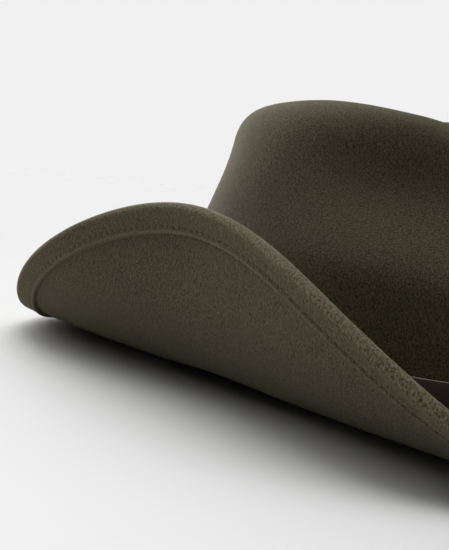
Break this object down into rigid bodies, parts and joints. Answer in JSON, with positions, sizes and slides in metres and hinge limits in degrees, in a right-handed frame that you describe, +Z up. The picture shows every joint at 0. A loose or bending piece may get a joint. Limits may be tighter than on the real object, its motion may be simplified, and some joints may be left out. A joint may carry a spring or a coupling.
{
  "type": "bush hat",
  "caption": "Olive wool-felt bush hat with a pinched crown, side-rolled brim with a stitched hem, and a brown leather band.",
  "frame": {"origin": "centre of the hat's box, on the surface that the brim rests on", "axes": "+Z up, -Y the front of the hat, +X the wearer's left"},
  "size_m": [0.2308, 0.336, 0.1051],
  "materials": {
    "felt": "matte olive wool felt with a short nap",
    "band_leather": "satin dark brown leather with a paler cut edge"
  },
  "bodies": {
    "root": {"felt_body": "felt", "hat_band": "band_leather"}
  },
  "joints": []
}
